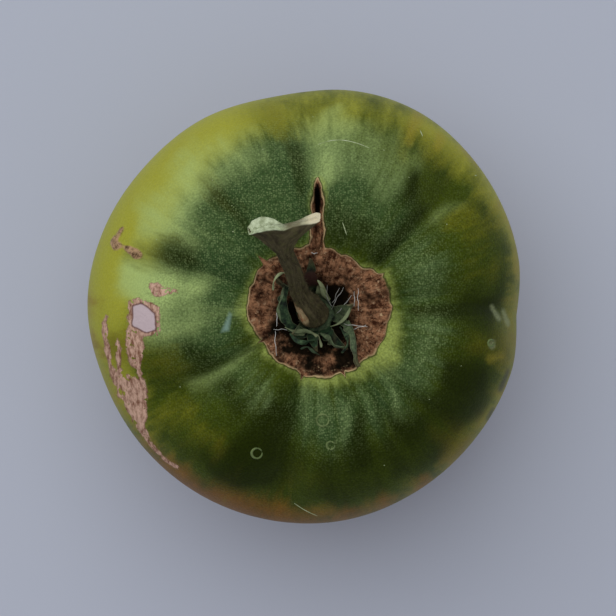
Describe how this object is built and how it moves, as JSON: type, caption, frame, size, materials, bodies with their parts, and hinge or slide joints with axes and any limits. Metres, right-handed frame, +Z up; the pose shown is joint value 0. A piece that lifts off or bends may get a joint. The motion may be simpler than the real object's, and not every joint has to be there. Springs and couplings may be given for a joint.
{
  "type": "green beefsteak tomato",
  "caption": "Whole ribbed green beefsteak tomato with a sunk stalk hollow, a dried calyx and a leaning stub of stalk, resting on a small flat spot.",
  "frame": {"origin": "middle of the overall box at the height of the surface the fruit rests on, inside its flat spot", "axes": "+Z up through the stalk hollow; seen from above with +X to the right, +Y points up the picture, where the long crack runs"},
  "size_m": [0.0953, 0.0956, 0.086],
  "materials": {
    "skin": "thin waxy tomato skin, dark green shading to yellow-green and amber, satin, with fine pale freckles and healed corky scars",
    "dried_sepal": "shrivelled dull grey-green leaf",
    "dried_stalk": "dull dried grey-brown stalk with soft ridges and a pale cut end"
  },
  "bodies": {
    "root": {"fruit": "skin", "calyx": "dried_sepal", "stalk": "dried_stalk"}
  },
  "joints": []
}
